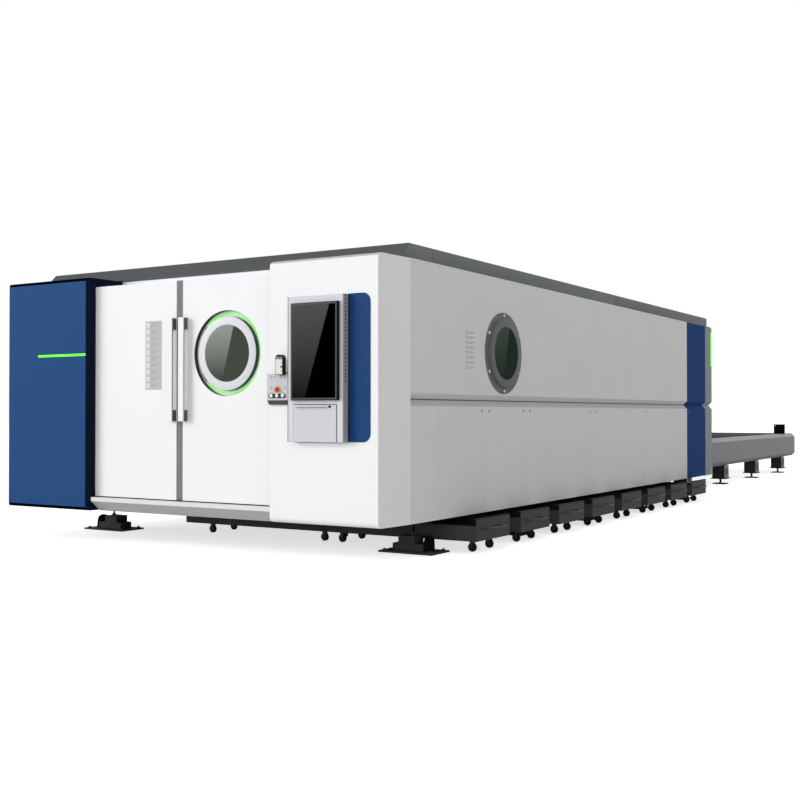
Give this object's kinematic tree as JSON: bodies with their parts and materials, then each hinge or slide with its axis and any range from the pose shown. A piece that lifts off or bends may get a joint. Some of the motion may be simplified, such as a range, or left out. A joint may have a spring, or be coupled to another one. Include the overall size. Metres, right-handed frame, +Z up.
{
  "type": "enclosed laser cutting machine",
  "caption": "Long enclosed laser cutting machine with sliding front doors, round windows, operator console, side scrap carts and a two-level exchange table.",
  "frame": {"origin": "on the floor, midway between the middle pair of bed feet (the centre of the four anchor bolts)", "axes": "+X to the operator's right, +Y from the doors back to the exchange table, +Z up"},
  "size_m": [4.33, 15.985, 2.432],
  "materials": {
    "dark_frame": "semi-gloss dark grey paint",
    "foot_black": "satin black paint",
    "screw_steel": "zinc-plated steel",
    "guide_steel": "ground steel",
    "panel_white": "fine powder coat, white",
    "cabinet_blue": "satin powder coat, blue",
    "rear_blue": "satin powder coat, blue",
    "trim_blue": "satin powder coat, blue",
    "rear_grey": "powder coat, grey",
    "roof_grey": "powder coat, dark grey",
    "door_white": "satin powder coat, white",
    "edge_grey": "grey sealing strip",
    "handle_grey": "satin paint, dark grey",
    "ring_lavender": "satin paint, pale lavender grey",
    "light_green": "lit diffuser, green",
    "door_glass": "laser protection glass, dark green",
    "ring_grey": "satin paint, mid grey",
    "side_glass": "laser protection glass, dark green",
    "console_lavender": "satin powder coat, pale lavender grey",
    "key_black": "black keyboard plastic",
    "lock_black": "black",
    "monitor_black": "fine texture, black",
    "screen_black": "black screen glass",
    "strip_grey": "satin paint, grey",
    "box_grey": "satin paint, light grey",
    "plate_black": "black",
    "button_white": "white cap",
    "collar_yellow": "yellow",
    "stop_red": "red",
    "handset_dark": "dark grey housing",
    "gantry_grey": "satin paint, grey",
    "carriage_dark": "satin paint, dark grey",
    "head_metal": "anodised",
    "pallet_grey": "paint, dark grey",
    "slat_steel": "bare sheet steel, dull",
    "table_grey": "powder coat, mid grey",
    "leg_black": "satin black paint",
    "table_box_black": "satin black paint",
    "cart_grey": "semi-matt dark grey paint"
  },
  "bodies": {
    "machine": {"bed_frame": "dark_frame", "bed_feet": "foot_black", "levelling_screws": "screw_steel", "guide_rails": "guide_steel", "right_upper_panels": "panel_white", "right_lower_panels": "panel_white", "left_side_panels": "panel_white", "rear_trims": "rear_blue", "rear_frame": "rear_grey", "roof_panels": "roof_grey", "left_cabinet": "cabinet_blue", "front_column": "door_white", "door_header": "ring_lavender", "door_sill": "door_white", "side_window_ring": "ring_grey", "side_window_glass": "side_glass", "status_lights": "light_green", "console_frame": "console_lavender", "monitor": "monitor_black", "monitor_glass": "screen_black", "vent_strip": "strip_grey", "trim_panel": "trim_blue", "control_box": "box_grey", "button_plate": "plate_black", "stop_collar": "collar_yellow", "handset": "handset_dark", "table_frame": "table_grey", "table_legs": "leg_black", "table_control_box": "table_box_black"},
    "left_door": {"left_door": "door_white", "left_door_edge": "edge_grey", "left_door_handle": "handle_grey"},
    "right_door": {"right_door": "door_white", "right_door_edge": "edge_grey", "right_door_handle": "handle_grey", "door_window_bezel": "ring_lavender", "door_window_light": "light_green", "door_window_glass": "door_glass"},
    "keyboard_flap": {"keyboard_flap": "console_lavender", "keyboard": "key_black"},
    "flap_lock": {"flap_lock": "lock_black"},
    "push_button_1": {"push_button_1": "button_white"},
    "push_button_2": {"push_button_2": "button_white"},
    "push_button_3": {"push_button_3": "button_white"},
    "stop_button": {"stop_button": "stop_red"},
    "gantry": {"gantry_beam": "gantry_grey"},
    "carriage": {"carriage": "carriage_dark"},
    "cutting_head": {"cutting_head": "head_metal"},
    "upper_pallet": {"upper_pallet": "pallet_grey", "upper_slats": "slat_steel"},
    "lower_pallet": {"lower_pallet": "pallet_grey", "lower_slats": "slat_steel"},
    "cart_1": {"cart_1": "cart_grey"},
    "cart_2": {"cart_2": "cart_grey"},
    "cart_3": {"cart_3": "cart_grey"},
    "cart_4": {"cart_4": "cart_grey"},
    "cart_5": {"cart_5": "cart_grey"},
    "cart_6": {"cart_6": "cart_grey"},
    "cart_7": {"cart_7": "cart_grey"},
    "cart_8": {"cart_8": "cart_grey"}
  },
  "joints": [
    {"name": "left_door_slide", "type": "slide", "parent": "machine", "child": "left_door", "axis": [-1, 0, 0], "range_m": [0, 0.87]},
    {"name": "right_door_slide", "type": "slide", "parent": "machine", "child": "right_door", "axis": [1, 0, 0], "range_m": [0, 0.87]},
    {"name": "keyboard_flap_hinge", "type": "hinge", "parent": "machine", "child": "keyboard_flap", "pos_m": [1.484, -4.377, 0.9153], "axis": [1, 0, 0], "range_deg": [0, 90]},
    {"name": "flap_lock_turn", "type": "hinge", "parent": "keyboard_flap", "child": "flap_lock", "pos_m": [1.623, -4.377, 1.1753], "axis": [0, 1, 0], "range_deg": [0, 90]},
    {"name": "push_button_1_press", "type": "slide", "parent": "machine", "child": "push_button_1", "axis": [0, 1, 0], "range_m": [0, 0.003], "stiffness_N_per_m": 500},
    {"name": "push_button_2_press", "type": "slide", "parent": "machine", "child": "push_button_2", "axis": [0, 1, 0], "range_m": [0, 0.003], "stiffness_N_per_m": 500},
    {"name": "push_button_3_press", "type": "slide", "parent": "machine", "child": "push_button_3", "axis": [0, 1, 0], "range_m": [0, 0.003], "stiffness_N_per_m": 500},
    {"name": "stop_button_press", "type": "slide", "parent": "machine", "child": "stop_button", "axis": [0, 1, 0], "range_m": [0, 0.005]},
    {"name": "gantry_travel", "type": "slide", "parent": "machine", "child": "gantry", "axis": [0, -1, 0], "range_m": [0, 6.1]},
    {"name": "carriage_travel", "type": "slide", "parent": "gantry", "child": "carriage", "axis": [-1, 0, 0], "range_m": [0, 2.5]},
    {"name": "head_lift", "type": "slide", "parent": "carriage", "child": "cutting_head", "axis": [0, 0, -1], "range_m": [0, 0.36]},
    {"name": "upper_pallet_travel", "type": "slide", "parent": "machine", "child": "upper_pallet", "axis": [0, -1, 0], "range_m": [0, 8.1]},
    {"name": "lower_pallet_travel", "type": "slide", "parent": "machine", "child": "lower_pallet", "axis": [0, 1, 0], "range_m": [0, 8.1]},
    {"name": "cart_1_pull", "type": "slide", "parent": "machine", "child": "cart_1", "axis": [1, 0, 0], "range_m": [0, 2.9]},
    {"name": "cart_2_pull", "type": "slide", "parent": "machine", "child": "cart_2", "axis": [1, 0, 0], "range_m": [0, 2.9]},
    {"name": "cart_3_pull", "type": "slide", "parent": "machine", "child": "cart_3", "axis": [1, 0, 0], "range_m": [0, 2.9]},
    {"name": "cart_4_pull", "type": "slide", "parent": "machine", "child": "cart_4", "axis": [1, 0, 0], "range_m": [0, 2.9]},
    {"name": "cart_5_pull", "type": "slide", "parent": "machine", "child": "cart_5", "axis": [1, 0, 0], "range_m": [0, 2.9]},
    {"name": "cart_6_pull", "type": "slide", "parent": "machine", "child": "cart_6", "axis": [1, 0, 0], "range_m": [0, 2.9]},
    {"name": "cart_7_pull", "type": "slide", "parent": "machine", "child": "cart_7", "axis": [1, 0, 0], "range_m": [0, 2.9]},
    {"name": "cart_8_pull", "type": "slide", "parent": "machine", "child": "cart_8", "axis": [1, 0, 0], "range_m": [0, 2.9]}
  ],
  "couplings": [
    {"joint": "lower_pallet_travel", "follows": "upper_pallet_travel", "ratio": 1}
  ]
}
